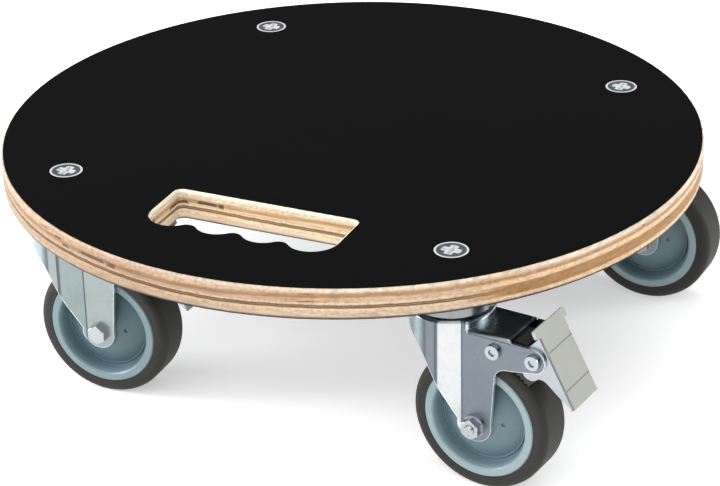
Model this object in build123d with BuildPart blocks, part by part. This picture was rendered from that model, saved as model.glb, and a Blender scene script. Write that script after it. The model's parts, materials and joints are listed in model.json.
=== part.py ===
from build123d import *
from math import atan2, cos, radians, sin
import os

# Round furniture dolly: plywood deck with a hand hole, on four bolt-hole swivel casters.
# Origin: on the floor under the deck's centre. +Z up, hand hole towards -Y, casters trail towards +X.

# Deck
deck_radius = 200
deck_top = 130
deck_thickness = 18
film = 0.4
edge_round = 1
film_radius = deck_radius - edge_round
deck_bottom = deck_top - deck_thickness

# Hand hole, sized before it is turned a little about the deck's centre, away from the bolts' line
hole_turn = 2.7
hole_half = 53.7
hole_inner_y = -110.2
hole_outer_y = -151.9
hole_corner = 3.5
hole_round = 1.5
groove_pitch = 27
groove_depth = 5.8
crest_radius = 7

# Mounting bolts
bolt_offset = 118
bolt_radius = 5
bolt_end = 80
head_radius = 9.15
head_rim = 0.5
seat_gap = 0.1
recess_across = 10.5
recess_width = 2.4
recess_depth = 4.5
recess_taper = 14
thread_chamfer = 1
washer_radius = 10.5
washer_top = 91.2
washer_thickness = 1.8
nut_height = 8
nut_across = 17
hex_corner_angle = 60
hex_flat_gap = 0.1

# Casters: swivel axis at the local origin, wheel trailing towards local +X
wheel_radius = 40
trail = 22.5
axle_height = wheel_radius
headings = {"front_right": -4.6, "rear_right": 0, "rear_left": 2.5, "front_left": 3.7}
corners = {"front_right": (1, -1), "rear_right": (1, 1), "rear_left": (-1, 1), "front_left": (-1, -1)}
braked = ("front_right", "front_left")

# Swivel head
sheet = 2
cup_radius = 23.6
cup_plate = 2.5
cup_skirt_bottom = 102
cup_round = 0.9
rivet_outer = 6.5
rivet_inner = 5.3
rivet_flange = 9
crown_radius = 19
crown_top = 103
crown_hole = 9
upper_ball = 3
upper_pitch = 14
lower_ball = 2.5
lower_pitch = 12
lower_cup_radius = 16
lower_cup_top = 95.2
lower_cup_bottom = 92.6
lower_cup_lip = 1.6
lower_cup_wall = 1.2
lower_ball_gap = 0.4
upper_ball_gap = 0.1
ball_count = 13

# Fork
fork_top = 95.5
pot_top = 100
pot_back = 18
pot_corner = 3
pot_round = 2.2
facet_bend = 3.5
nose_bend = 9
shelf_round = 3
fork_half = 16
inner_half = fork_half - sheet
nose_radius = 22.5
facet_start = (14.8, fork_half)
facet_end = (4.2, 22.1)
lobe_radius = 9.5
axle_hole = 3.1
shelf_end = 41.5
plain_end = 37
arm_end = 63.2

# Points of the fork's side view, measured along the trail and up from the floor
nose_front_z = 92
nose_curve = (-10.5, 84.3)
nose_knee = (-3, 74.5)
lobe_shoulder_z = axle_height + 2
arm_throat = (34, 68.6)
arm_throat_curve = (36.2, 75.3)
arm_heel = (42.2, 77.6)
arm_under = 6.8
arm_over = 6.6
shelf_drop = 1.6
plain_throat = (34.4, 70)
plain_curve = (35.2, 82)
plain_shoulder = (plain_end, 93)

# Wheel
hub_half = 13.7
hub_radius = 10
bush_radius = 5
bush_bore = 3.1
running_gap = 0.08
ring_half = 12.5
ring_outer = 32.5
ring_inner = 27.5
hub_shoulder = 12
hub_bevel = 1
web_radius = 23.6
web_half = 5
bead_height = 0.7
bead_width = 1.2
bead_slope = 0.3
ring_bevel = 0.8
gate_radius = 1.3
gate_place = 14.2
gate_count = 3
gate_depth_from_middle = 9.3
gate_angle = 4
key_half = 5
key_height = 2
key_slope = 0.5
tyre_half = 12.2
tyre_round = 4.5

# Axle bolt and nut
axle_radius = 3
axle_head = 4
axle_nut_height = 5
axle_across = 10
axle_end = 1.2
axle_chamfer = 0.6
axle_washer = 6
axle_washer_thickness = 1.2

# Brake
pin_x = 56.7
pin_z = 87
shoe_pin_x = 33.7
pin_radius = 3
pin_head = 4.3
pin_head_height = 2.2
pin_dimple = 2
pin_head_taper = 8
pin_dimple_taper = 20
pin_gap = 0.1
pedal_half = 13.7
pedal_sheet = 1.8
pedal_slope = 61.6
pedal_standoff = 8.6
pedal_top = -15.5
pedal_neck = -10.5
pedal_bottom = 31.3
pedal_creases = (-1.4, 20.5)
crease_width = 1.1
crease_depth = 0.45
pedal_fold = 1.6
lip_round = 1.2
lip_half = 16.2
sleeve_wall = 1.8

# Points of the pedal cheek's side view, from its low corner round under the pins
cheek_corner = (74.4, 65.9)
cheek_edge = (69.2, 70.3)
cheek_hollow_start = (63.5, 75.1)
cheek_hollow = (61, 76.3)
cheek_hollow_end = (58.3, 76.3)
cheek_notch = (53.6, 74.4)
cheek_notch_end = (49.6, 77.2)
cheek_front = (47.9, 84.6)
cheek_front_end = (51.4, 92.2)
cheek_top = (54.2, 94.8)

# Brake shoe
shoe_half = 11.3
shoe_gap = 0.5
shoe_depth = 6
shoe_toe = 45
shoe_heel = 64
tooth_count = 5
tooth_radius = 0.9
shoe_eye_wall = 1.6
lever_outline = ((0, 4), (15.5, 3.2), (16.2, -3), (19, -11), (8, -9), (0, -4))
spring_start = (5.5, 3.8)
spring_end = (15.5, 3.3)
spring_sheet = 1
spring_half = 8.3

os.makedirs("parts", exist_ok=True)

axle_axis = Axis((trail, 0, axle_height), (0, 1, 0))
# Half section of the wheel: local x along the axle, local y outwards
wheel_section = Plane(origin=(trail, 0, axle_height), x_dir=(0, 1, 0), z_dir=(1, 0, 0))
# Side view from the axle: local x along the trail, local y up, normal towards the nut's side
axle_side = Plane(origin=(trail, 0, axle_height), x_dir=(1, 0, 0), z_dir=(0, -1, 0))
pedal_pin_side = Plane(origin=(pin_x, 0, pin_z), x_dir=(1, 0, 0), z_dir=(0, -1, 0))
shoe_pin_side = Plane(origin=(shoe_pin_x, 0, pin_z), x_dir=(1, 0, 0), z_dir=(0, -1, 0))


def wave_point(centre_x, centre_y, radius, angle):
    """Point on an arc of the finger grooves; the angle is from straight down, in radians."""
    return (centre_x + radius * sin(angle), centre_y - radius * cos(angle))


def hand_hole_outline():
    """Half of the hand hole's edge, from the deck's middle line round to the finger side."""
    # Grooves and the crests between them are arcs that meet at one slope
    slope = 2 * atan2(groove_depth, groove_pitch / 2)
    groove_radius = groove_pitch / 2 / sin(slope) - crest_radius
    groove_y = hole_outer_y + groove_radius
    crest_y = hole_outer_y + groove_depth - crest_radius
    first_x = groove_pitch / 2
    second_x = 3 * groove_pitch / 2
    end_radius = hole_half - second_x
    Line((0, hole_inner_y), (hole_half - hole_corner, hole_inner_y))
    RadiusArc(
        (hole_half - hole_corner, hole_inner_y), (hole_half, hole_inner_y - hole_corner), hole_corner
    )
    Line((hole_half, hole_inner_y - hole_corner), (hole_half, hole_outer_y + end_radius))
    RadiusArc((hole_half, hole_outer_y + end_radius), (second_x, hole_outer_y), end_radius)
    ThreePointArc(
        (second_x, hole_outer_y),
        wave_point(second_x, groove_y, groove_radius, -slope / 2),
        wave_point(second_x, groove_y, groove_radius, -slope),
    )
    ThreePointArc(
        wave_point(second_x, groove_y, groove_radius, -slope),
        (groove_pitch, crest_y + crest_radius),
        wave_point(first_x, groove_y, groove_radius, slope),
    )
    ThreePointArc(
        wave_point(first_x, groove_y, groove_radius, slope),
        (first_x, hole_outer_y),
        wave_point(first_x, groove_y, groove_radius, -slope),
    )
    ThreePointArc(
        wave_point(first_x, groove_y, groove_radius, -slope),
        wave_point(0, crest_y, -crest_radius, -slope / 2),
        (0, crest_y + crest_radius),
    )


with BuildSketch(Plane.XY.rotated((0, 0, hole_turn))) as hand_hole:
    with BuildLine():
        hand_hole_outline()
        mirror(about=Plane.YZ)
    make_face()

with BuildSketch() as film_hole:
    add(hand_hole.sketch)
    offset(amount=hole_round)


def bolt_places():
    """One bolt over each caster."""
    return [(sx * bolt_offset, sy * bolt_offset) for sx, sy in corners.values()]


with BuildPart() as deck_board:
    with BuildSketch(Plane.XY.offset(deck_bottom + film)):
        Circle(deck_radius)
    extrude(amount=deck_thickness - 2 * film)
    fillet(deck_board.edges().filter_by(GeomType.CIRCLE), edge_round)
    with BuildSketch(Plane.XY.offset(deck_bottom)):
        add(hand_hole.sketch)
    extrude(amount=deck_thickness, mode=Mode.SUBTRACT)
    hole_faces = deck_board.faces().filter_by(Axis.Z)
    hole_edges = [e for face in hole_faces for wire in face.inner_wires() for e in wire.edges()]
    fillet(hole_edges, hole_round)
    with Locations(*[(x, y, deck_top - head_rim) for x, y in bolt_places()]):
        CounterSinkHole(
            radius=bolt_radius + seat_gap,
            counter_sink_radius=head_radius + seat_gap,
            depth=deck_thickness,
            counter_sink_angle=90,
        )
        Cylinder(
            head_radius + seat_gap,
            head_rim,
            align=(Align.CENTER, Align.CENTER, Align.MIN),
            mode=Mode.SUBTRACT,
        )
deck_board.part.label = "deck_board"
export_step(deck_board.part, "parts/deck_board.step")

with BuildPart() as deck_top_film:
    with BuildSketch(Plane.XY.offset(deck_top - film)):
        Circle(film_radius)
        add(film_hole.sketch, mode=Mode.SUBTRACT)
        with Locations(*bolt_places()):
            Circle(head_radius + seat_gap, mode=Mode.SUBTRACT)
    extrude(amount=film)
deck_top_film.part.label = "deck_top_film"
export_step(deck_top_film.part, "parts/deck_top_film.step")

with BuildPart() as deck_bottom_film:
    with BuildSketch(Plane.XY.offset(deck_bottom)):
        Circle(film_radius)
        add(film_hole.sketch, mode=Mode.SUBTRACT)
        with Locations(*bolt_places()):
            Circle(bolt_radius + seat_gap, mode=Mode.SUBTRACT)
    extrude(amount=film)
deck_bottom_film.part.label = "deck_bottom_film"
export_step(deck_bottom_film.part, "parts/deck_bottom_film.step")

# One countersunk bolt, on the Z axis
with BuildPart() as bolt:
    with BuildSketch(Plane.XZ):
        with BuildLine():
            Polyline(
                (0, deck_top),
                (head_radius, deck_top),
                (head_radius, deck_top - head_rim),
                (bolt_radius, deck_top - head_rim - (head_radius - bolt_radius)),
                (bolt_radius, bolt_end + thread_chamfer),
                (bolt_radius - thread_chamfer, bolt_end),
                (0, bolt_end),
                close=True,
            )
        make_face()
    revolve(axis=Axis.Z)
    with BuildSketch(Plane.XY.offset(deck_top)):
        Rectangle(recess_across, recess_width)
        Rectangle(recess_width, recess_across)
    extrude(amount=-recess_depth, taper=recess_taper, mode=Mode.SUBTRACT)

with BuildPart() as mounting_bolts:
    with Locations(*bolt_places()):
        add(bolt.part)
mounting_bolts.part.label = "mounting_bolts"
export_step(mounting_bolts.part, "parts/mounting_bolts.step")

with BuildPart() as mounting_washers:
    with BuildSketch(Plane.XY.offset(washer_top - washer_thickness)):
        with Locations(*bolt_places()):
            Circle(washer_radius)
            Circle(bolt_radius + seat_gap, mode=Mode.SUBTRACT)
    extrude(amount=washer_thickness)
mounting_washers.part.label = "mounting_washers"
export_step(mounting_washers.part, "parts/mounting_washers.step")


def make_hexagon(base, across, height):
    """Hexagon standing on a plane, with its outer corners turned off at 30 degrees."""
    with BuildPart() as hexagon:
        with BuildSketch(base):
            RegularPolygon(across / 2, 6, major_radius=False, rotation=30)
        extrude(amount=height)
        with BuildSketch(base.offset(height)):
            Circle(across / 2 - hex_flat_gap)
        extrude(amount=-height, taper=-hex_corner_angle, mode=Mode.INTERSECT)
    return hexagon.part


nut_base = Plane(origin=(0, 0, washer_top - washer_thickness), x_dir=(1, 0, 0), z_dir=(0, 0, -1))
nut_hexagon = make_hexagon(nut_base, nut_across, nut_height)

with BuildPart() as mounting_nuts:
    with Locations(*bolt_places()):
        add(nut_hexagon)
    with BuildSketch(nut_base):
        with Locations(*[(x, -y) for x, y in bolt_places()]):
            Circle(bolt_radius)
    extrude(amount=nut_height, mode=Mode.SUBTRACT)
mounting_nuts.part.label = "mounting_nuts"
export_step(mounting_nuts.part, "parts/mounting_nuts.step")

# Caster pieces, each made once at the local origin and copied to its corners below

with BuildPart() as top_cup:
    with BuildSketch(Plane.XZ):
        with BuildLine():
            Polyline(
                (rivet_outer, deck_bottom),
                (cup_radius, deck_bottom),
                (cup_radius, cup_skirt_bottom),
                (cup_radius - sheet, cup_skirt_bottom),
                (cup_radius - sheet, deck_bottom - cup_plate),
                (rivet_outer, deck_bottom - cup_plate),
                close=True,
            )
        make_face()
    revolve(axis=Axis.Z)
    outer_edges = top_cup.edges().filter_by(GeomType.CIRCLE).group_by(SortBy.RADIUS)[-1]
    fillet(outer_edges, cup_round)

with BuildPart() as king_rivet:
    with BuildSketch(Plane.XZ):
        with BuildLine():
            Polyline(
                (rivet_inner, deck_bottom),
                (rivet_outer, deck_bottom),
                (rivet_outer, lower_cup_bottom),
                (rivet_flange, lower_cup_bottom),
                (rivet_flange, washer_top),
                (rivet_inner, washer_top),
                close=True,
            )
        make_face()
    revolve(axis=Axis.Z)

with BuildPart() as lower_cup:
    with BuildSketch(Plane.XZ):
        with BuildLine():
            Polyline(
                (rivet_outer, lower_cup_bottom),
                (lower_cup_radius, lower_cup_bottom),
                (lower_cup_radius, lower_cup_top + lower_cup_lip),
                (lower_cup_radius - lower_cup_wall, lower_cup_top + lower_cup_lip),
                (lower_cup_radius - lower_cup_wall, lower_cup_top),
                (rivet_outer, lower_cup_top),
                close=True,
            )
        make_face()
    revolve(axis=Axis.Z)

with BuildPart() as bearing_balls:
    with Locations((0, 0, crown_top + upper_ball_gap + upper_ball)):
        with PolarLocations(upper_pitch, ball_count):
            Sphere(upper_ball)
    with Locations((0, 0, lower_cup_top + lower_ball_gap + lower_ball)):
        with PolarLocations(lower_pitch, ball_count):
            Sphere(lower_ball)


def fork_plan(inset, rear, round_back):
    """Outline of the fork's plan: a round nose, two slanting facets and two parallel cheeks."""
    side = facet_start[1] - inset
    nose = facet_end[1] - inset
    Polyline((rear, side), (facet_start[0], side), (facet_end[0], nose))
    ThreePointArc((facet_end[0], nose), (-nose_radius + inset, 0), (facet_end[0], -nose))
    Polyline((facet_end[0], -nose), (facet_start[0], -side), (rear, -side))
    if round_back:
        ThreePointArc((rear, -side), (nose_radius - inset, 0), (rear, side))
    else:
        Line((rear, -side), (rear, side))


def fork_side(with_arms):
    """Outline of the fork's side: nose edge, axle lobe, rear edge and, for a brake, the arms."""
    nose_front = (-nose_radius - 1, nose_front_z)
    front_foot = (trail - lobe_radius, lobe_shoulder_z)
    rear_foot = (trail + lobe_radius, lobe_shoulder_z)
    side_top = pot_top + sheet
    arm_low = (pin_x, pin_z - arm_under)
    arm_high = (pin_x, pin_z + arm_over)
    Line((nose_front[0], side_top), nose_front)
    ThreePointArc(nose_front, nose_curve, nose_knee)
    Line(nose_knee, front_foot)
    ThreePointArc(front_foot, (trail, axle_height - lobe_radius), rear_foot)
    if with_arms:
        Line(rear_foot, arm_throat)
        ThreePointArc(arm_throat, arm_throat_curve, arm_heel)
        Line(arm_heel, arm_low)
        ThreePointArc(arm_low, (arm_end, pin_z), arm_high)
        Polyline(arm_high, (shelf_end + shelf_drop, fork_top - shelf_drop), (shelf_end, fork_top))
        Polyline((shelf_end, fork_top), (shelf_end, side_top), (nose_front[0], side_top))
    else:
        Line(rear_foot, plain_throat)
        ThreePointArc(plain_throat, plain_curve, plain_shoulder)
        Polyline(plain_shoulder, (plain_end, side_top), (nose_front[0], side_top))


def round_bends(plan, nose_round, facet_round):
    """Round the upright bends of a plan: at the nose, and where the facets meet the cheeks."""
    nose_corners = plan.vertices().filter_by_position(Axis.X, 0, facet_end[0] + 1)
    fillet(nose_corners, nose_round)
    facet_corners = plan.vertices().filter_by_position(Axis.X, facet_start[0] - 0.1, facet_start[0] + 0.1)
    fillet(facet_corners, facet_round)


def make_fork(with_arms):
    """Pressed fork: a shell of one sheet, cut to its side view, with the swivel head's raised pot."""
    shell_end = arm_end + 5
    shell_foot = axle_height - 2 * lobe_radius
    with BuildPart() as fork:
        with BuildSketch(Plane.XY.offset(shell_foot)) as outer_plan:
            with BuildLine():
                fork_plan(0, shell_end, False)
            make_face()
            round_bends(outer_plan, nose_bend, facet_bend)
        extrude(amount=fork_top - shell_foot)
        # Rounded bend between the shelf and each cheek
        with BuildSketch(Plane.YZ.offset(pot_back)):
            for side in (-1, 1):
                with Locations((side * fork_half, fork_top)):
                    Rectangle(2 * shelf_round, 2 * shelf_round)
                with Locations((side * (fork_half - shelf_round), fork_top - shelf_round)):
                    Circle(shelf_round, mode=Mode.SUBTRACT)
        extrude(amount=shell_end, mode=Mode.SUBTRACT)
        # Pot over the nose, higher than the shelf behind it
        with BuildSketch(Plane.XY.offset(fork_top)) as pot_plan:
            with BuildLine():
                fork_plan(0, pot_back, True)
            make_face()
            fillet(pot_plan.vertices().filter_by_position(Axis.X, pot_back, pot_back), pot_corner)
            round_bends(pot_plan, nose_bend, facet_bend)
        extrude(amount=pot_top - fork_top)
        fillet(fork.edges().group_by(Axis.Z)[-1], pot_round)
        with BuildSketch(Plane.XZ):
            with BuildLine():
                fork_side(with_arms)
            make_face()
        extrude(amount=2 * nose_radius, both=True, mode=Mode.INTERSECT)
        with BuildSketch(Plane.XY.offset(shell_foot)) as inner_plan:
            with BuildLine():
                fork_plan(sheet, shell_end + 10, False)
            make_face()
            round_bends(inner_plan, nose_bend - sheet, facet_bend + sheet)
        extrude(amount=fork_top - sheet - shell_foot, mode=Mode.SUBTRACT)
        if with_arms:
            with BuildSketch(Plane.XY.offset(fork_top)):
                with Locations((shelf_end, 0)):
                    Rectangle(2 * arm_end, 2 * inner_half, align=(Align.MIN, Align.CENTER))
            extrude(amount=-2 * sheet, mode=Mode.SUBTRACT)
        with BuildSketch(Plane.XY.offset(fork_top - sheet)) as pot_hollow:
            with BuildLine():
                fork_plan(sheet, pot_back, True)
            make_face()
            fillet(pot_hollow.vertices().filter_by_position(Axis.X, pot_back, pot_back), pot_corner - sheet)
            round_bends(pot_hollow, nose_bend - sheet, facet_bend + sheet)
        extrude(amount=pot_top - fork_top, mode=Mode.SUBTRACT)
        # Ball race raised in the middle of the pot
        with BuildSketch(Plane.XY.offset(pot_top - sheet)):
            Circle(crown_radius)
        extrude(amount=crown_top - pot_top + sheet)
        fillet(fork.edges().filter_by(GeomType.CIRCLE).group_by(Axis.Z)[-1], sheet)
        with BuildSketch(Plane.XY.offset(fork_top)):
            Circle(crown_radius - sheet)
        extrude(amount=crown_top - sheet - fork_top, mode=Mode.SUBTRACT)
        with BuildSketch(Plane.XY.offset(fork_top)):
            Circle(crown_hole)
        extrude(amount=2 * crown_radius, mode=Mode.SUBTRACT)
        with BuildSketch(axle_side):
            Circle(axle_hole)
        extrude(amount=2 * fork_half, both=True, mode=Mode.SUBTRACT)
        if with_arms:
            for pin_side in (pedal_pin_side, shoe_pin_side):
                with BuildSketch(pin_side):
                    Circle(pin_radius)
                extrude(amount=2 * fork_half, both=True, mode=Mode.SUBTRACT)
    return fork


brake_fork = make_fork(True)
plain_fork = make_fork(False)

with BuildPart() as axle_bush:
    with BuildSketch(axle_side):
        Circle(bush_radius)
        Circle(bush_bore, mode=Mode.SUBTRACT)
    extrude(amount=inner_half, both=True)

with BuildPart() as wheel_rim:
    with BuildSketch(wheel_section):
        with BuildLine():
            Polyline(
                (0, bush_radius + running_gap),
                (hub_half, bush_radius + running_gap),
                (hub_half, hub_radius - hub_bevel),
                (hub_shoulder, hub_radius),
                (web_half, web_radius),
                (web_half + bead_height, web_radius + bead_slope),
                (web_half + bead_height, web_radius + bead_width - bead_slope),
                (web_half, web_radius + bead_width),
                (ring_half - ring_bevel, ring_inner),
                (ring_half, ring_inner + ring_bevel),
                (ring_half, ring_outer - ring_bevel),
                (ring_half - ring_bevel, ring_outer),
                (key_half, ring_outer),
                (key_half - key_slope, ring_outer + key_height),
                (0, ring_outer + key_height),
                close=True,
            )
        make_face()
        mirror(about=Plane.YZ)
    revolve(axis=axle_axis)
    # Moulding gate marks, sunk into the sloping web
    for side in (-1, 1):
        with BuildSketch(axle_side.offset(side * gate_depth_from_middle)):
            with PolarLocations(gate_place, gate_count, start_angle=gate_angle):
                Circle(gate_radius)
        extrude(amount=side * web_half, mode=Mode.SUBTRACT)

with BuildPart() as tyre:
    with BuildSketch(wheel_section):
        with BuildLine():
            Polyline(
                (0, ring_outer + key_height),
                (key_half - key_slope, ring_outer + key_height),
                (key_half, ring_outer),
                (tyre_half, ring_outer),
                (tyre_half, wheel_radius - tyre_round),
            )
            RadiusArc(
                (tyre_half, wheel_radius - tyre_round),
                (tyre_half - tyre_round, wheel_radius),
                -tyre_round,
            )
            Polyline(
                (tyre_half - tyre_round, wheel_radius), (0, wheel_radius), (0, ring_outer + key_height)
            )
        make_face()
        mirror(about=Plane.YZ)
    revolve(axis=axle_axis)


def make_axle(nut_side):
    """Axle bolt and its nut with a washer; nut_side is 1 with the nut on the side view's near side."""
    seat = fork_half + axle_washer_thickness
    head_base = axle_side.offset(-nut_side * fork_half)
    nut_base = axle_side.offset(nut_side * seat)
    if nut_side > 0:
        head_base = Plane(origin=head_base.origin, x_dir=head_base.x_dir, z_dir=-head_base.z_dir)
    else:
        nut_base = Plane(origin=nut_base.origin, x_dir=nut_base.x_dir, z_dir=-nut_base.z_dir)
    with BuildPart() as axle_bolt:
        add(make_hexagon(head_base, axle_across, axle_head))
        with BuildSketch(head_base):
            Circle(axle_radius)
        extrude(amount=-(fork_half + seat + axle_nut_height + axle_end))
        tip = axle_bolt.faces().sort_by(Axis.Y)[0 if nut_side > 0 else -1]
        chamfer(tip.edges(), axle_chamfer)
    with BuildPart() as axle_nut:
        add(make_hexagon(nut_base, axle_across, axle_nut_height))
        with BuildSketch(nut_base):
            Circle(axle_washer)
        extrude(amount=-axle_washer_thickness)
        with BuildSketch(nut_base):
            Circle(axle_radius)
        extrude(amount=2 * axle_nut_height, both=True, mode=Mode.SUBTRACT)
    return axle_bolt, axle_nut


def make_pin(pin_side):
    """Riveted pin through both fork arms, with a domed head at each end."""
    with BuildPart() as pin:
        with BuildSketch(pin_side):
            Circle(pin_radius)
        extrude(amount=fork_half, both=True)
        for side in (-1, 1):
            with BuildSketch(pin_side.offset(side * fork_half)):
                Circle(pin_head)
            extrude(amount=side * pin_head_height, taper=pin_head_taper)
            with BuildSketch(pin_side.offset(side * (fork_half + pin_head_height))):
                Circle(pin_dimple)
            extrude(amount=-side * pin_head_height / 2, taper=pin_dimple_taper, mode=Mode.SUBTRACT)
    return pin


pedal_pin = make_pin(pedal_pin_side)
shoe_pin = make_pin(shoe_pin_side)

# Pedal plate's own plane: local x across, local y up the slope, normal outwards
down_x = cos(radians(pedal_slope))
down_z = -sin(radians(pedal_slope))
pedal_face = Plane(
    origin=(pin_x - down_z * pedal_standoff, 0, pin_z + down_x * pedal_standoff),
    x_dir=(0, 1, 0),
    z_dir=(-down_z, 0, down_x),
)


def on_pedal(down, inwards):
    """Side-view point at a distance down the pedal plate and inwards from its outer face."""
    out = pedal_standoff - inwards
    return (pin_x + down * down_x - out * down_z, pin_z + down * down_z + out * down_x)


with BuildPart() as pedal:
    # Cheeks that hang from the pin
    with BuildSketch(Plane.XZ):
        with BuildLine():
            Line(on_pedal(pedal_neck, pedal_sheet / 2), on_pedal(pedal_bottom, pedal_sheet / 2))
            Line(on_pedal(pedal_bottom, pedal_sheet / 2), cheek_corner)
            Polyline(cheek_corner, cheek_edge, cheek_hollow_start)
            ThreePointArc(cheek_hollow_start, cheek_hollow, cheek_hollow_end)
            ThreePointArc(cheek_hollow_end, cheek_notch, cheek_notch_end)
            ThreePointArc(cheek_notch_end, cheek_front, cheek_front_end)
            ThreePointArc(cheek_front_end, cheek_top, on_pedal(pedal_neck, pedal_sheet / 2))
        make_face()
    extrude(amount=pedal_half, both=True)
    # Plate that joins them, folded round at both sides
    with BuildSketch(pedal_face):
        with Locations((0, -(pedal_neck + pedal_bottom) / 2)):
            Rectangle(2 * pedal_half, pedal_bottom - pedal_neck)
    extrude(amount=-pedal_sheet)
    slope = Axis(pedal_face.origin, (down_x, 0, down_z))
    outer_face = pedal.faces().filter_by(Axis(pedal_face.origin, pedal_face.z_dir)).sort_by(SortBy.AREA)[-1]
    fillet(outer_face.edges().filter_by(slope), pedal_fold)
    with BuildSketch(Plane.XZ):
        with BuildLine():
            Polyline(
                on_pedal(2 * pedal_neck, pedal_sheet),
                on_pedal(2 * pedal_bottom, pedal_sheet),
                on_pedal(2 * pedal_bottom, 2 * pedal_bottom),
                on_pedal(2 * pedal_neck, 2 * pedal_bottom),
                close=True,
            )
        make_face()
    extrude(amount=pedal_half - pedal_sheet, both=True, mode=Mode.SUBTRACT)
    # Wider lip at the top of the plate
    with BuildSketch(pedal_face) as lip:
        with Locations((0, -(pedal_top + pedal_neck) / 2)):
            Rectangle(2 * lip_half, pedal_neck - pedal_top)
        fillet(lip.vertices(), lip_round)
    extrude(amount=-pedal_sheet)
    with BuildSketch(pedal_face):
        for crease in pedal_creases:
            with Locations((0, -crease)):
                Rectangle(2 * pedal_half, crease_width)
    extrude(amount=-crease_depth, mode=Mode.SUBTRACT)
    # Sleeve round the pin, from cheek to cheek
    with BuildSketch(pedal_pin_side):
        Circle(pin_radius + sleeve_wall)
    extrude(amount=pedal_half, both=True)
    with BuildSketch(pedal_pin_side):
        Circle(pin_radius + pin_gap)
    extrude(amount=2 * pedal_half, both=True, mode=Mode.SUBTRACT)


def round_axle(radius, angle):
    """Side-view point at a radius from the axle, the angle in degrees up from the trail's direction."""
    return (radius * cos(radians(angle)), radius * sin(radians(angle)))


shoe_inner = wheel_radius + shoe_gap
shoe_outer = shoe_inner + shoe_depth
shoe_middle = (shoe_toe + shoe_heel) / 2

with BuildPart() as brake_shoe:
    # Pad that follows the tyre's curve
    with BuildSketch(axle_side):
        with BuildLine():
            Line(round_axle(shoe_outer, shoe_toe), round_axle(shoe_inner, shoe_toe))
            ThreePointArc(
                round_axle(shoe_inner, shoe_toe),
                round_axle(shoe_inner, shoe_middle),
                round_axle(shoe_inner, shoe_heel),
            )
            Line(round_axle(shoe_inner, shoe_heel), round_axle(shoe_outer, shoe_heel))
            ThreePointArc(
                round_axle(shoe_outer, shoe_heel),
                round_axle(shoe_outer, shoe_middle),
                round_axle(shoe_outer, shoe_toe),
            )
        make_face()
    extrude(amount=shoe_half, both=True)
    # Lever from the pin to the pad
    with BuildSketch(shoe_pin_side):
        Circle(pin_radius + shoe_eye_wall)
        with BuildLine():
            Polyline(*lever_outline, close=True)
        make_face()
    extrude(amount=shoe_half, both=True)
    # Teeth across the face that meets the tyre
    with BuildSketch(axle_side):
        for index in range(tooth_count):
            angle = shoe_toe + (shoe_heel - shoe_toe) * (index + 0.5) / tooth_count
            with Locations(round_axle(shoe_inner, angle)):
                Circle(tooth_radius)
    extrude(amount=2 * shoe_half, both=True, mode=Mode.SUBTRACT)
    with BuildSketch(shoe_pin_side):
        Circle(pin_radius + pin_gap)
    extrude(amount=2 * shoe_half, both=True, mode=Mode.SUBTRACT)

with BuildPart() as brake_spring:
    with BuildSketch(shoe_pin_side):
        with BuildLine():
            Polyline(
                spring_start,
                spring_end,
                (spring_end[0], spring_end[1] + spring_sheet),
                (spring_start[0], spring_start[1] + spring_sheet),
                close=True,
            )
        make_face()
    extrude(amount=spring_half, both=True)

nut_right = make_axle(1)
nut_left = make_axle(-1)
common = {
    "top_cup": top_cup,
    "king_rivet": king_rivet,
    "lower_cup": lower_cup,
    "bearing_balls": bearing_balls,
    "axle_bush": axle_bush,
    "wheel_rim": wheel_rim,
    "tyre": tyre,
}
brake = {
    "fork": brake_fork,
    "pedal": pedal,
    "pedal_pin": pedal_pin,
    "shoe_pin": shoe_pin,
    "brake_shoe": brake_shoe,
    "brake_spring": brake_spring,
}

for corner, (side_x, side_y) in corners.items():
    place = Location((side_x * bolt_offset, side_y * bolt_offset, 0), (0, 0, headings[corner]))
    axle_bolt, axle_nut = nut_right if side_x > 0 else nut_left
    pieces = common | {"axle_bolt": axle_bolt, "axle_nut": axle_nut}
    pieces = pieces | (brake if corner in braked else {"fork": plain_fork})
    for name, piece in pieces.items():
        placed = piece.part.moved(place)
        placed.label = f"{corner}_{name}"
        export_step(placed, f"parts/{placed.label}.step")
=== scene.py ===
import json
from math import cos, radians, sin

import bpy
from mathutils import Matrix, Vector


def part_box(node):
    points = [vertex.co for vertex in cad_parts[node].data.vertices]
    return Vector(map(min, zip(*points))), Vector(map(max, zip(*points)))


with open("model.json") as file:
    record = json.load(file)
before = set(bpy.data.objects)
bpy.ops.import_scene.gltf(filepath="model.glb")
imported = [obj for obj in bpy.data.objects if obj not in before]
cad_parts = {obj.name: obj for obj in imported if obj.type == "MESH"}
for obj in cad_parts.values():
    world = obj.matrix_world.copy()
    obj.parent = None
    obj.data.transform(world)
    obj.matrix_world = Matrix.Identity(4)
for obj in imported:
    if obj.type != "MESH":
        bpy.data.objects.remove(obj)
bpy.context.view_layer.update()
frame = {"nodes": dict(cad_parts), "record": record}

# Looks of the furniture dolly's solids, and the stage that they stand on.
# Metres. Origin on the floor under the deck's centre, +Z up, hand hole towards -Y, casters trail towards +X.

nodes = frame["nodes"]
board_low, board_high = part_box("deck_board")
deck_radius = (board_high.x - board_low.x) / 2
deck_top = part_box("deck_top_film")[1].z
deck_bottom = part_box("deck_bottom_film")[0].z

bolts_low, bolts_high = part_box("mounting_bolts")
bolt_head_radius = 0.00915
bolt_offset = (bolts_high.x - bolts_low.x) / 2 - bolt_head_radius

# Way that each caster trails, in degrees from +X
headings = {"front_right": -4.6, "rear_right": 0, "rear_left": 2.5, "front_left": 3.7}
axle_height = 0.040
trail = 0.0225
rim_web_radius = 0.0262
rim_ring_radius = 0.0278
fork_lobe_height = 0.087

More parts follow.
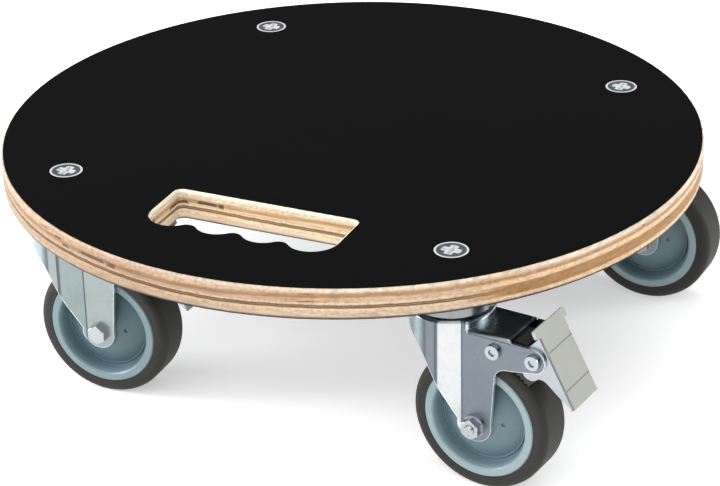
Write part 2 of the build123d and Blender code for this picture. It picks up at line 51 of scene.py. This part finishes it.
# Voids in the core plies: bearing and half length in degrees, height and half height as shares of the deck
edge_voids = (
    (-105.7, 2.7, 0.655, 0.052),
    (-101.6, 0.8, 0.63, 0.07),
    (-114, 0.9, 0.74, 0.04),
    (-112, 0.8, 0.60, 0.045),
)


def trail_direction(corner):
    """Level unit vector along which a caster trails."""
    turn = radians(headings[corner])
    return Vector((cos(turn), sin(turn), 0))


def view_direction(azimuth, elevation):
    """Unit vector towards an azimuth, counted from -Y, and an elevation, both in degrees."""
    turn, rise = radians(azimuth), radians(elevation)
    return Vector((sin(turn) * cos(rise), -cos(turn) * cos(rise), sin(rise)))


# ---------------------------------------------------------------- node helpers


class Shader:
    """Small helper around one material's node tree."""

    def __init__(self, name):
        self.material = bpy.data.materials.new(name)
        self.material.use_nodes = True
        self.tree = self.material.node_tree
        self.bsdf = self.tree.nodes["Principled BSDF"]
        coordinates = self.new("ShaderNodeTexCoord")
        self.coords = coordinates.outputs["Object"]
        self.normal = coordinates.outputs["Normal"]

    def new(self, kind):
        return self.tree.nodes.new(kind)

    def put(self, value, socket):
        if isinstance(value, bpy.types.NodeSocket):
            self.tree.links.new(value, socket)
        else:
            socket.default_value = value

    def set(self, **values):
        for key, value in values.items():
            self.put(value, self.bsdf.inputs[key.replace("_", " ")])

    def math(self, operation, *values):
        node = self.new("ShaderNodeMath")
        node.operation = operation
        for value, socket in zip(values, node.inputs):
            self.put(value, socket)
        return node.outputs[0]

    def add(self, a, b):
        return self.math("ADD", a, b)

    def subtract(self, a, b):
        return self.math("SUBTRACT", a, b)

    def multiply(self, a, b):
        return self.math("MULTIPLY", a, b)

    def divide(self, a, b):
        return self.math("DIVIDE", a, b)

    def absolute(self, value):
        return self.math("ABSOLUTE", value)

    def larger(self, a, b):
        return self.math("MAXIMUM", a, b)

    def smaller(self, a, b):
        return self.math("MINIMUM", a, b)

    def vector(self, operation, a, b):
        node = self.new("ShaderNodeVectorMath")
        node.operation = operation
        self.put(a, node.inputs[0])
        self.put(b, node.inputs[1])
        return node.outputs["Value"] if operation in ("LENGTH", "DOT_PRODUCT") else node.outputs[0]

    def length(self, a, b):
        """Length of a vector with two parts."""
        return self.vector("LENGTH", self.join(a, b, 0.0), (0, 0, 0))

    def scaled(self, vector, x, y, z):
        return self.vector("MULTIPLY", vector, (x, y, z))

    def split(self, vector):
        node = self.new("ShaderNodeSeparateXYZ")
        self.put(vector, node.inputs[0])
        return node.outputs

    def join(self, x, y, z):
        node = self.new("ShaderNodeCombineXYZ")
        for value, socket in zip((x, y, z), node.inputs):
            self.put(value, socket)
        return node.outputs[0]

    def noise(self, vector, scale, detail, roughness=0.55, distortion=0.0):
        node = self.new("ShaderNodeTexNoise")
        self.put(vector, node.inputs["Vector"])
        settings = {"Scale": scale, "Detail": detail, "Roughness": roughness, "Distortion": distortion}
        for key, value in settings.items():
            node.inputs[key].default_value = value
        return node.outputs["Fac"]

    def ramp(self, factor, *stops):
        node = self.new("ShaderNodeValToRGB")
        elements = node.color_ramp.elements
        while len(elements) < len(stops):
            elements.new(0.5)
        for element, (place, colour) in zip(elements, stops):
            element.position = place
            element.color = (*colour, 1)
        self.put(factor, node.inputs[0])
        return node.outputs[0]

    def range(self, value, low, high, to_low=0.0, to_high=1.0):
        node = self.new("ShaderNodeMapRange")
        self.put(value, node.inputs[0])
        for number, socket in zip((low, high, to_low, to_high), list(node.inputs)[1:5]):
            socket.default_value = number
        return node.outputs[0]

    def mix(self, factor, a, b, blend="MIX"):
        node = self.new("ShaderNodeMix")
        node.data_type = "RGBA"
        node.blend_type = blend
        self.put(factor, node.inputs["Factor"])
        for value, socket in ((a, node.inputs[6]), (b, node.inputs[7])):
            if isinstance(value, tuple):
                value = (*value, 1)
            self.put(value, socket)
        return node.outputs[2]

    def tinted(self, factor, colour, tint):
        """Colour multiplied by a tint, as far as the factor says."""
        return self.mix(factor, colour, self.mix(1.0, colour, tint, "MULTIPLY"))

    def bump(self, height, distance, strength):
        """Bump on top of any bump that the material already has."""
        node = self.new("ShaderNodeBump")
        self.put(height, node.inputs["Height"])
        node.inputs["Distance"].default_value = distance
        node.inputs["Strength"].default_value = strength
        normal = self.bsdf.inputs["Normal"]
        if normal.is_linked:
            self.put(normal.links[0].from_socket, node.inputs["Normal"])
        self.put(node.outputs[0], normal)


def grey(level):
    return (level, level, level)


def times(colour, *factors):
    """Colour with each channel multiplied by its own factor, or all by one."""
    return tuple(channel * factor for channel, factor in zip(colour, factors * (3 // len(factors))))


# ---------------------------------------------------------------- materials


def phenolic_film():
    """Black phenolic film: even, satin, with faint cloudy wear and a few hairline scuffs."""
    m = Shader("phenolic_film")
    cloud = m.noise(m.coords, 9, 5, 0.6)
    fine = m.noise(m.coords, 900, 2, 0.6)
    scuffs = m.noise(m.scaled(m.coords, 1, 7, 1), 60, 6, 0.7, 1.2)
    marks = m.range(scuffs, 0.69, 0.76)
    black = m.mix(cloud, (0.0022, 0.0022, 0.0024), (0.0036, 0.0036, 0.0038))
    colour = m.mix(m.multiply(marks, 0.3), black, grey(0.03))
    rough = m.add(m.range(cloud, 0.3, 0.7, 0.5, 0.6), m.multiply(marks, 0.1))
    m.set(Base_Color=colour, Roughness=rough, Specular_IOR_Level=0.03)
    m.bump(fine, 0.00003, 0.5)
    return m.material


def plywood():
    """Birch plywood edge: plies by height, end grain where a ply runs outwards, glue line and voids."""
    m = Shader("plywood")
    x, y, z = m.split(m.coords)
    wander = m.noise(m.scaled(m.coords, 9, 9, 1), 1, 3, 0.5)
    ripple = m.noise(m.scaled(m.coords, 120, 120, 20), 1, 3, 0.6)
    wave = m.multiply(m.subtract(wander, 0.5), 0.0022)
    fine_wave = m.multiply(m.subtract(ripple, 0.5), 0.0009)
    height = m.add(m.add(z, wave), fine_wave)
    share = m.range(height, deck_bottom, deck_top)
    # The upper brown ply dips towards the left of the board
    dip = m.multiply(m.range(x, 0.09, 0.0, 0, 0.11), m.range(share, 0.5, 0.6))
    share = m.add(share, dip)
    level_share = m.range(z, deck_bottom, deck_top)

    pale = (0.62, 0.455, 0.31)
    clear = (0.70, 0.52, 0.36)
    tan = (0.60, 0.415, 0.262)
    brown = (0.42, 0.255, 0.14)
    glue = (0.155, 0.095, 0.043)
    golden = (0.80, 0.555, 0.33)
    end_grain = (0.38, 0.20, 0.074)
    long_grain_plies = m.ramp(
        share,
        (0.10, pale), (0.27, pale), (0.30, clear), (0.35, clear), (0.375, glue), (0.405, glue),
        (0.418, brown), (0.432, glue), (0.455, glue), (0.485, clear), (0.54, clear), (0.57, tan),
        (0.69, tan), (0.73, brown), (0.81, brown), (0.85, tan), (0.89, clear),
    )
    end_grain_plies = m.ramp(
        share,
        (0.10, golden), (0.20, golden), (0.25, end_grain), (0.545, end_grain), (0.585, golden),
        (0.69, golden), (0.735, brown), (0.79, brown), (0.84, tan), (0.88, clear),
    )
    # The middle plies run towards the right and left of the board, so their ends show there
    outward = m.absolute(m.divide(m.subtract(x, m.multiply(y, 0.09)), deck_radius))
    ends = m.range(m.add(outward, m.multiply(m.subtract(wander, 0.5), 0.2)), 0.74, 0.86)
    colour = m.mix(ends, long_grain_plies, end_grain_plies)

    # Pale rounding under the top film, partly bleached wood and partly a painted highlight, and the dark
    # edge of the bottom film
    bleached_and_highlight = (0.80, 0.70, 0.57)
    film_edge = (0.105, 0.07, 0.038)
    colour = m.mix(m.range(level_share, 0.86, 0.93), colour, bleached_and_highlight)
    colour = m.mix(m.range(level_share, 0.115, 0.07), colour, film_edge)

    # Fibres run along X in one ply and along Y in the next
    along_x = m.noise(m.scaled(m.coords, 26, 420, 620), 1, 5, 0.65)
    along_y = m.noise(m.scaled(m.coords, 420, 26, 620), 1, 5, 0.65)
    runs_along_y = m.ramp(
        share,
        (0.0, grey(0)), (0.22, grey(0)), (0.23, grey(1)), (0.35, grey(1)), (0.36, grey(0)), (0.43, grey(0)),
        (0.44, grey(1)), (0.62, grey(1)), (0.63, grey(0)), (0.82, grey(0)), (0.83, grey(1)),
    )
    grain = m.mix(runs_along_y, along_x, along_y)
    shade = m.range(grain, 0.3, 0.7, 0.62, 1.16)
    colour = m.mix(1.0, colour, m.join(shade, shade, shade), "MULTIPLY")

    # Slow changes of tone, painted shade on the left of the outer edge, and a brighter wall inside the hand
    # hole
    patches = m.noise(m.scaled(m.coords, 14, 14, 160), 1, 3, 0.5)
    colour = m.tinted(m.range(patches, 0.52, 0.68, 0, 0.5), colour, (0.84, 0.68, 0.54))
    outer = m.range(m.length(x, y), 0.180, 0.190)
    # Painted shade: the outer edge is darkened towards the left
    colour = m.tinted(m.multiply(outer, m.range(x, 0.075, -0.02, 0, 1)), colour, (0.63, 0.58, 0.53))
    colour = m.mix(outer, m.mix(1.0, colour, (1.16, 1.24, 1.24), "MULTIPLY"), colour)

    # Short dark marks that follow the plies, and open specks
    dashes = m.noise(m.scaled(m.coords, 38, 38, 420), 1, 4, 0.6)
    colour = m.mix(m.range(dashes, 0.645, 0.69, 0, 0.8), colour, (0.10, 0.05, 0.03))
    specks = m.noise(m.coords, 900, 3, 0.7)
    colour = m.mix(m.range(specks, 0.60, 0.75, 0, 0.5), colour, (0.24, 0.13, 0.07))

    bearing = m.math("ARCTAN2", y, x)
    ragged = m.multiply(m.subtract(m.noise(m.coords, 500, 4, 0.7), 0.5), 1.6)
    for turn, half_turn, level, half_level in edge_voids:
        sideways = m.divide(m.subtract(bearing, radians(turn)), radians(half_turn))
        upward = m.divide(m.subtract(level_share, level), half_level)
        reach = m.larger(m.absolute(sideways), m.absolute(upward))
        colour = m.mix(m.range(m.add(reach, ragged), 1.15, 0.85, 0, 0.92), colour, (0.07, 0.035, 0.02))

    m.set(Base_Color=colour, Roughness=0.55, Specular_IOR_Level=0.35)
    m.bump(grain, 0.0002, 0.5)
    m.bump(m.range(dashes, 0.66, 0.72, 1, 0), 0.0003, 0.6)
    return m.material


def zinc(name, base, roughness):
    """Bright zinc plate: soft reflections, faint passivation tints, spangle and fine rolling lines."""
    m = Shader(name)
    cloud = m.noise(m.coords, 45, 3, 0.5, 0.6)
    mottle = m.noise(m.coords, 260, 4, 0.65)
    fine = m.noise(m.scaled(m.coords, 300, 300, 2400), 1, 3, 0.6)
    cool = times(base, 0.90, 0.96, 1.04)
    warm = times(base, 1.04, 1.0, 0.98)
    colour = m.mix(m.range(cloud, 0.35, 0.65, 0.25, 0.75), cool, warm)
    colour = m.mix(m.range(mottle, 0.5, 0.75, 0, 0.35), colour, times(base, 0.78))
    smears = m.range(cloud, 0.3, 0.7, roughness - 0.04, roughness + 0.05)
    lines = m.multiply(m.subtract(fine, 0.5), 0.12)
    m.set(Base_Color=colour, Roughness=m.add(smears, lines), Metallic=1.0)
    m.bump(fine, 0.00002, 0.4)
    m.bump(mottle, 0.00003, 0.3)
    return m.material


def brake_black():
    """Black brake shoe: dull, lightly textured paint."""
    m = Shader("brake_black")
    base = grey(0.012)
    cloud = m.noise(m.coords, 60, 4, 0.6)
    fine = m.noise(m.coords, 1500, 2, 0.6)
    colour = m.mix(cloud, times(base, 0.93), times(base, 1.05))
    m.set(Base_Color=colour, Roughness=m.range(cloud, 0.3, 0.7, 0.45, 0.55), Metallic=0.0)
    m.bump(fine, 0.00004, 0.5)
    return m.material


def pedal_steel():
    """Pedal, one piece of plated steel: painted reflections make the tread matt beige-grey and the folded
    cheeks bare zinc, by the way each face points.
    """
    m = Shader("pedal_steel")
    facing = m.range(m.absolute(m.split(m.normal)[1]), 0.45, 0.75)
    cloud = m.noise(m.coords, 60, 4, 0.6)
    fine = m.noise(m.coords, 1500, 2, 0.6)
    # Painted reflection: tread and cheeks get their own colour, roughness and metalness by facing
    tread_reflection = m.mix(cloud, (0.27, 0.28, 0.253), (0.31, 0.32, 0.29))
    cheek_reflection = m.mix(cloud, (0.33, 0.35, 0.38), (0.40, 0.42, 0.45))
    rough = m.range(facing, 0, 1, 0.42, 0.26)
    metal = m.range(facing, 0, 1, 0.25, 1.0)
    m.set(Base_Color=m.mix(facing, tread_reflection, cheek_reflection), Roughness=rough, Metallic=metal)
    m.bump(fine, 0.00004, 0.5)
    return m.material


def rim_plastic(corner):
    """Moulded polypropylene rim: pale ring, web darkened with painted shade in the recess, slight flow marks
    and a fine orange peel.
    """
    m = Shader(corner + "_rim_plastic")
    low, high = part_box(f"{corner}_top_cup")
    swivel = (low + high) / 2
    along = trail_direction(corner)
    x, y, z = m.split(m.vector("SUBTRACT", m.coords, (swivel.x, swivel.y, axle_height)))
    forward = m.subtract(m.add(m.multiply(x, along.x), m.multiply(y, along.y)), trail)
    radius = m.length(forward, z)
    flow = m.noise(m.coords, 30, 3, 0.5, 1.0)
    peel = m.noise(m.coords, 1100, 2, 0.5)
    ring = m.mix(flow, (0.235, 0.325, 0.35), (0.27, 0.36, 0.38))
    # Painted shade: the web inside the ring is darker
    shaded_web = m.mix(flow, (0.105, 0.18, 0.205), (0.135, 0.215, 0.24))
    colour = m.mix(m.range(radius, rim_web_radius, rim_ring_radius), shaded_web, ring)
    # Painted shade: the front left wheel is darkened by about 30 percent, the others a little
    wheel_shade = (0.66, 0.72, 0.73) if corner == "front_left" else (0.93, 0.94, 0.94)
    colour = m.mix(1.0, colour, wheel_shade, "MULTIPLY")
    m.set(Base_Color=colour, Roughness=m.range(flow, 0.3, 0.7, 0.3, 0.4), Specular_IOR_Level=0.45)
    m.bump(peel, 0.00004, 0.5)
    return m.material


def fork_zinc(corner):
    """Pressed fork: painted reflections colour each face by the way it points, with dull rolled cheeks,
    brighter slanting facets and darker bends, and painted highlights on the cut edges and corners.
    """
    m = Shader(corner + "_fork_zinc")
    along = trail_direction(corner)
    nx, ny, nz = m.split(m.normal)
    forward = m.add(m.multiply(nx, along.x), m.multiply(ny, along.y))
    sideways = m.absolute(m.subtract(m.multiply(ny, along.x), m.multiply(nx, along.y)))
    height = m.split(m.coords)[2]
    cloud = m.noise(m.coords, 45, 3, 0.5, 0.6)
    mottle = m.noise(m.coords, 260, 4, 0.65)
    fine = m.noise(m.scaled(m.coords, 300, 300, 2400), 1, 3, 0.6)

    # Painted reflections: cheeks, facets, nose, bends and shelf are coloured by the way they face
    cheek_reflection, facet_reflection = (0.275, 0.315, 0.31), (0.25, 0.30, 0.30)
    # The front right fork gets darker cheeks and brighter facets than the others
    if corner == "front_right":
        cheek_reflection, facet_reflection = (0.17, 0.19, 0.22), (0.52, 0.54, 0.545)
    nose_reflection = (0.34, 0.40, 0.43)
    bend_reflection = (0.10, 0.115, 0.125)
    shelf_reflection = (0.42, 0.49, 0.52)
    cut_edge_highlight = (0.85, 0.89, 0.92)
    reflection_tones = m.ramp(
        m.range(forward, -1, 1),
        (0.0, nose_reflection), (0.32, nose_reflection), (0.42, bend_reflection), (0.455, cheek_reflection), (0.53, cheek_reflection), (0.56, bend_reflection), (0.63, bend_reflection),
        (0.68, facet_reflection), (0.80, facet_reflection), (0.90, cheek_reflection),
    )
    reflection_tones = m.mix(m.range(nz, 0.7, 0.9), reflection_tones, shelf_reflection)

    # Sheared edges of the sheet face neither up nor sideways, and get a painted highlight
    sheared = m.range(m.larger(sideways, nz), 0.35, 0.2)
    behind = m.multiply(sheared, m.range(forward, -0.6, -0.4))
    below = m.multiply(sheared, m.range(height, fork_lobe_height + 0.001, fork_lobe_height - 0.001))
    edge_highlight = m.larger(behind, below)
    # A painted highlight makes a thin bright line along the corners of the sheet
    bevel = m.new("ShaderNodeBevel")
    bevel.inputs["Radius"].default_value = 0.0007
    surface = m.new("ShaderNodeNewGeometry").outputs["Normal"]
    corner_turn = m.vector("DOT_PRODUCT", bevel.outputs[0], surface)
    edge_highlight = m.larger(edge_highlight, m.range(corner_turn, 0.97, 0.90))

    colour = m.mix(edge_highlight, reflection_tones, cut_edge_highlight)
    colour = m.tinted(m.range(mottle, 0.5, 0.75, 0, 0.30), colour, (0.72, 0.72, 0.74))
    colour = m.tinted(m.range(cloud, 0.4, 0.7, 0, 0.5), colour, (0.86, 0.92, 1.0))
    m.set(Base_Color=colour, Roughness=m.range(cloud, 0.3, 0.7, 0.22, 0.33), Metallic=1.0)
    m.bump(fine, 0.00002, 0.4)
    m.bump(mottle, 0.00003, 0.3)
    return m.material


def tyre_rubber():
    """Dark thermoplastic rubber with a trace of dust."""
    m = Shader("tyre_rubber")
    dust = m.noise(m.coords, 70, 5, 0.65)
    fine = m.noise(m.coords, 1800, 3, 0.6)
    colour = m.mix(m.range(dust, 0.35, 0.75), (0.013, 0.0125, 0.0115), (0.023, 0.022, 0.020))
    m.set(Base_Color=colour, Roughness=m.range(dust, 0.3, 0.7, 0.55, 0.68), Specular_IOR_Level=0.35)
    m.bump(fine, 0.00005, 0.6)
    return m.material


def bolt_zinc():
    """Zinc bolts: flat heads with a bright rim, a face darkened as a painted reflection, and a bright cross
    recess.
    """
    m = Shader("bolt_zinc")
    x, y, z = m.split(m.coords)
    from_x = m.subtract(m.absolute(x), bolt_offset)
    from_y = m.subtract(m.absolute(y), bolt_offset)
    distance = m.length(from_x, from_y)
    rim = m.range(distance, 0.0078, 0.0083)
    head = m.range(z, deck_top - 0.0004, deck_top - 0.0002)
    arms = m.range(m.smaller(m.absolute(from_x), m.absolute(from_y)), 0.0027, 0.0019)
    cross = m.multiply(m.range(distance, 0.0058, 0.0052), arms)
    cloud = m.noise(m.coords, 700, 4, 0.65)
    burrs = m.noise(m.coords, 1600, 3, 0.7)
    # Painted reflection: the head's flat face is dark
    dark_face_reflection = m.mix(cloud, (0.10, 0.115, 0.13), (0.19, 0.21, 0.23))
    bright = m.mix(burrs, (0.50, 0.53, 0.55), (0.82, 0.84, 0.84))
    light = m.larger(m.larger(rim, cross), m.subtract(1.0, head))
    rough = m.range(cloud, 0.3, 0.7, 0.3, 0.45)
    metal = m.range(light, 0, 1, 0.8, 0.15)
    m.set(Base_Color=m.mix(light, dark_face_reflection, bright), Roughness=rough, Metallic=metal)
    m.bump(burrs, 0.0001, 0.6)
    return m.material


def dress(node, material):
    obj = nodes[node]
    obj.data.materials.clear()
    obj.data.materials.append(material)


slot_materials = {
    "plywood": plywood(),
    "phenolic_film": phenolic_film(),
    "zinc_steel": zinc("zinc_steel", (0.245, 0.25, 0.245), 0.24),
    "zinc_fastener": zinc("zinc_fastener", (0.40, 0.43, 0.44), 0.22),
    "bearing_steel": zinc("bearing_steel", (0.75, 0.76, 0.78), 0.12),
    "pedal_steel": pedal_steel(),
    "brake_black": brake_black(),
    "tyre": tyre_rubber(),
}
own_materials = {"mounting_bolts": bolt_zinc()}
for corner in headings:
    own_materials[f"{corner}_wheel_rim"] = rim_plastic(corner)
    own_materials[f"{corner}_fork"] = fork_zinc(corner)
for entry in frame["record"]["subparts"]:
    node = entry["node"]
    dress(node, own_materials[node] if node in own_materials else slot_materials[entry["material_slot"]])

# ---------------------------------------------------------------- stage


def add_object(name, data, place=(0, 0, 0)):
    obj = bpy.data.objects.new(name, data)
    bpy.context.scene.collection.objects.link(obj)
    obj.location = place
    return obj


def make_floor():
    """White sweep: a flat floor with the object standing on it."""
    half = 6.0
    mesh = bpy.data.meshes.new("floor")
    outline = [(-half, -half, 0), (half, -half, 0), (half, half, 0), (-half, half, 0)]
    mesh.from_pydata(outline, [], [(0, 1, 2, 3)])
    floor = add_object("floor", mesh)
    m = Shader("floor_white")
    speck = m.noise(m.coords, 3, 2)
    m.set(Base_Color=m.mix(speck, grey(0.86), grey(0.88)), Roughness=0.9, Specular_IOR_Level=0.1)
    m.set(Emission_Color=(1, 1, 1, 1), Emission_Strength=0.44)
    mesh.materials.append(m.material)


def area_light(name, azimuth, elevation, distance, size, power):
    """Soft box aimed at a point under the deck."""
    aim = Vector((0, 0, 0.08))
    direction = view_direction(azimuth, elevation)
    data = bpy.data.lights.new(name, "AREA")
    data.shape = "RECTANGLE"
    data.size, data.size_y = size
    data.energy = power
    light = add_object(name, data, direction * distance + aim)
    light.rotation_euler = (-direction).to_track_quat("-Z", "Y").to_euler()


def sun_light(name, azimuth, elevation, spread, strength):
    """Broad even light over the whole sweep."""
    direction = view_direction(azimuth, elevation)
    data = bpy.data.lights.new(name, "SUN")
    data.angle = radians(spread)
    data.energy = strength
    light = add_object(name, data, direction * 3)
    light.rotation_euler = (-direction).to_track_quat("-Z", "Y").to_euler()


def make_world():
    world = bpy.data.worlds.new("studio")
    world.use_nodes = True
    background = world.node_tree.nodes["Background"]
    background.inputs["Color"].default_value = (1, 1, 1, 1)
    background.inputs["Strength"].default_value = 0.335
    bpy.context.scene.world = world


def make_camera():
    """Camera above the hand hole's right side, turned a little off the deck's centre and rolled."""
    azimuth, elevation, distance = 27.767, 23.871, 1.4249
    pan, tilt, roll = -0.109, -2.677, 1.441
    back = view_direction(azimuth, elevation)
    forward = -back
    right = forward.cross(Vector((0, 0, 1))).normalized()
    up = right.cross(forward)
    turn = Matrix.Rotation(radians(pan), 3, up)
    forward, right = turn @ forward, turn @ right
    turn = Matrix.Rotation(radians(tilt), 3, right)
    forward, up = turn @ forward, turn @ up
    turn = Matrix.Rotation(radians(roll), 3, forward)
    right, up = turn @ right, turn @ up
    data = bpy.data.cameras.new("camera")
    data.sensor_width = 36
    data.lens = 124.23
    data.clip_start = 0.05
    camera = add_object("camera", data)
    place = Matrix.Translation(back * distance + Vector((0, 0, deck_top)))
    camera.matrix_world = place @ Matrix((right, up, -forward)).transposed().to_4x4()
    bpy.context.scene.camera = camera


make_floor()
make_world()
sun_light("overhead", -30, 66, 100, 3.2)
area_light("left", -62, 14, 1.2, (0.35, 0.8), 10)
area_light("right", 118, 20, 1.5, (0.5, 0.9), 7)
make_camera()
bpy.context.scene.view_settings.view_transform = "Standard"
